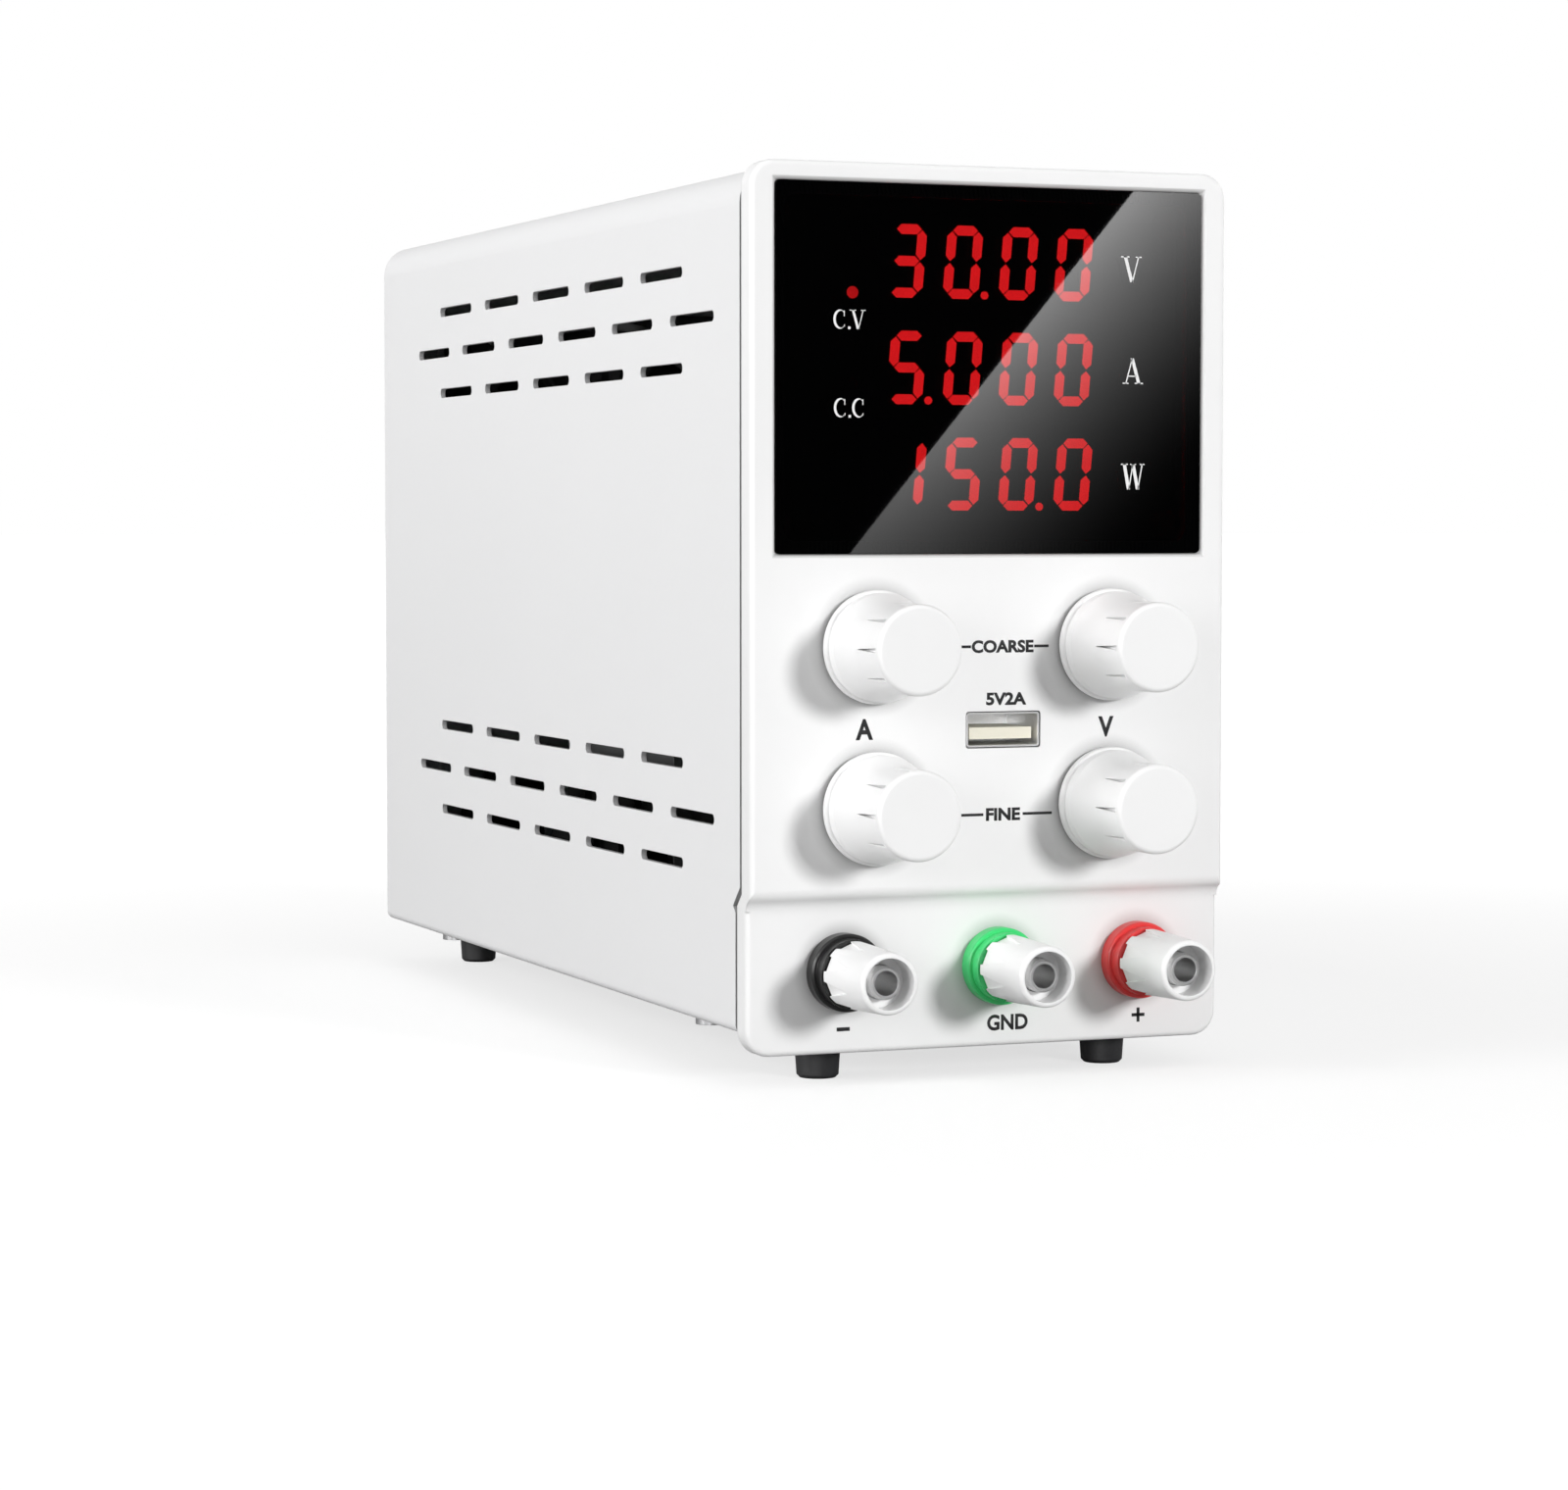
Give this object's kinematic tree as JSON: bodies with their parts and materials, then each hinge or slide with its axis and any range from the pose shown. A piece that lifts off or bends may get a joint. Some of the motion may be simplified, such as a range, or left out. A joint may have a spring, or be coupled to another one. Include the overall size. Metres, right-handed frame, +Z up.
{
  "type": "bench power supply",
  "caption": "Bench power supply with a display window, setting knobs, binding posts, a charging port, a vented cover and a rear fan.",
  "frame": {"origin": "on the floor under the middle of the whole product, knobs and rear switch included", "axes": "+X to the right seen from the front, +Y from the front to the rear, +Z up"},
  "size_m": [0.085, 0.2354, 0.1492],
  "materials": {
    "bezel_white": "satin",
    "window_black": "gloss",
    "cover_paint": "satin",
    "zinc_sheet": "satin",
    "rear_paint": "satin",
    "pot_dark": "matte",
    "nickel": "polished",
    "ivory_plastic": "satin",
    "module_black": "matte",
    "digit_red": "gloss",
    "digit_dark": "satin",
    "led_red": "gloss",
    "board_green": "satin",
    "brass": "satin",
    "ferrite": "matte",
    "tape_yellow": "satin",
    "sleeve_blue": "gloss",
    "sleeve_black": "gloss",
    "aluminium": "satin",
    "choke_green": "gloss",
    "dark_plastic": "satin",
    "gloss_black": "gloss",
    "screw_steel": "satin",
    "slider_red": "satin",
    "foot_rubber": "matte",
    "ink_black": "matte",
    "ink_white": "matte",
    "knob_white": "satin",
    "collar_black": "gloss",
    "collar_green": "gloss",
    "collar_red": "gloss"
  },
  "bodies": {
    "case": {"front_bezel": "bezel_white", "display_window": "window_black", "cover": "cover_paint", "chassis": "zinc_sheet", "rear_panel": "rear_paint", "potentiometers": "pot_dark", "pot_nuts": "nickel", "usb_shell": "nickel", "usb_tongue": "ivory_plastic", "post_stud_negative": "nickel", "post_stud_ground": "nickel", "post_stud_positive": "nickel", "post_collar_negative": "collar_black", "post_collar_ground": "collar_green", "post_collar_positive": "collar_red", "post_nuts": "nickel", "digit_modules": "module_black", "digits_lit": "digit_red", "digits_dark": "digit_dark", "mode_leds": "led_red", "display_board": "board_green", "control_board": "board_green", "main_board": "board_green", "board_standoffs": "brass", "transformer_core": "ferrite", "transformer_winding": "tape_yellow", "bulk_capacitors": "sleeve_blue", "output_capacitors": "sleeve_black", "heatsinks": "aluminium", "power_transistors": "module_black", "output_choke": "choke_green", "fan_frame": "dark_plastic", "fan_screws": "screw_steel", "inlet_housing": "dark_plastic", "inlet_pins": "nickel", "switch_housing": "gloss_black", "selector_housing": "dark_plastic", "feet": "foot_rubber", "foot_screws": "screw_steel", "case_screws": "screw_steel"},
    "knob_current_coarse": {"knob_current_coarse": "knob_white", "shaft_current_coarse": "nickel"},
    "knob_voltage_coarse": {"knob_voltage_coarse": "knob_white", "shaft_voltage_coarse": "nickel"},
    "knob_current_fine": {"knob_current_fine": "knob_white", "shaft_current_fine": "nickel"},
    "knob_voltage_fine": {"knob_voltage_fine": "knob_white", "shaft_voltage_fine": "nickel"},
    "post_carrier_negative": {"post_insert_negative": "brass"},
    "post_cap_negative": {"post_cap_negative": "knob_white"},
    "post_carrier_ground": {"post_insert_ground": "brass"},
    "post_cap_ground": {"post_cap_ground": "knob_white"},
    "post_carrier_positive": {"post_insert_positive": "brass"},
    "post_cap_positive": {"post_cap_positive": "knob_white"},
    "fan_rotor": {"fan_rotor": "dark_plastic"},
    "fuse_drawer": {"fuse_drawer": "dark_plastic", "fuse": "nickel"},
    "power_rocker": {"power_rocker": "gloss_black"},
    "selector_slider": {"selector_slider": "slider_red"}
  },
  "joints": [
    {"name": "knob_current_coarse_turn", "type": "hinge", "parent": "case", "child": "knob_current_coarse", "pos_m": [-0.021, -0.0987, 0.0712], "axis": [0, 1, 0], "range_deg": [-150, 150]},
    {"name": "knob_voltage_coarse_turn", "type": "hinge", "parent": "case", "child": "knob_voltage_coarse", "pos_m": [0.021, -0.0987, 0.0712], "axis": [0, 1, 0], "range_deg": [-150, 150]},
    {"name": "knob_current_fine_turn", "type": "hinge", "parent": "case", "child": "knob_current_fine", "pos_m": [-0.021, -0.0987, 0.045], "axis": [0, 1, 0], "range_deg": [-150, 150]},
    {"name": "knob_voltage_fine_turn", "type": "hinge", "parent": "case", "child": "knob_voltage_fine", "pos_m": [0.021, -0.0987, 0.045], "axis": [0, 1, 0], "range_deg": [-150, 150]},
    {"name": "post_negative_lift", "type": "slide", "parent": "case", "child": "post_carrier_negative", "axis": [0, -1, 0], "range_m": [0, 0.006]},
    {"name": "post_negative_turn", "type": "hinge", "parent": "post_carrier_negative", "child": "post_cap_negative", "pos_m": [-0.0256, -0.0967, 0.0184], "axis": [0, -1, 0], "range_deg": [0, 2880]},
    {"name": "post_ground_lift", "type": "slide", "parent": "case", "child": "post_carrier_ground", "axis": [0, -1, 0], "range_m": [0, 0.006]},
    {"name": "post_ground_turn", "type": "hinge", "parent": "post_carrier_ground", "child": "post_cap_ground", "pos_m": [0.002, -0.0967, 0.0184], "axis": [0, -1, 0], "range_deg": [0, 2880]},
    {"name": "post_positive_lift", "type": "slide", "parent": "case", "child": "post_carrier_positive", "axis": [0, -1, 0], "range_m": [0, 0.006]},
    {"name": "post_positive_turn", "type": "hinge", "parent": "post_carrier_positive", "child": "post_cap_positive", "pos_m": [0.0274, -0.0967, 0.0184], "axis": [0, -1, 0], "range_deg": [0, 2880]},
    {"name": "fan_spin", "type": "hinge", "parent": "case", "child": "fan_rotor", "pos_m": [0, 0.1033, 0.10445], "axis": [0, 1, 0], "continuous": true},
    {"name": "fuse_drawer_slide", "type": "slide", "parent": "case", "child": "fuse_drawer", "axis": [0, 1, 0], "range_m": [0, 0.017]},
    {"name": "power_rocker_tip", "type": "hinge", "parent": "case", "child": "power_rocker", "pos_m": [-0.02, 0.1117, 0.0345], "axis": [1, 0, 0], "range_deg": [0, 22]},
    {"name": "selector_slide", "type": "slide", "parent": "case", "child": "selector_slider", "axis": [-1, 0, 0], "range_m": [0, 0.0036]}
  ],
  "couplings": [
    {"joint": "post_negative_turn", "follows": "post_negative_lift", "rad_per_m": 8377.6},
    {"joint": "post_ground_turn", "follows": "post_ground_lift", "rad_per_m": 8377.6},
    {"joint": "post_positive_turn", "follows": "post_positive_lift", "rad_per_m": 8377.6}
  ]
}
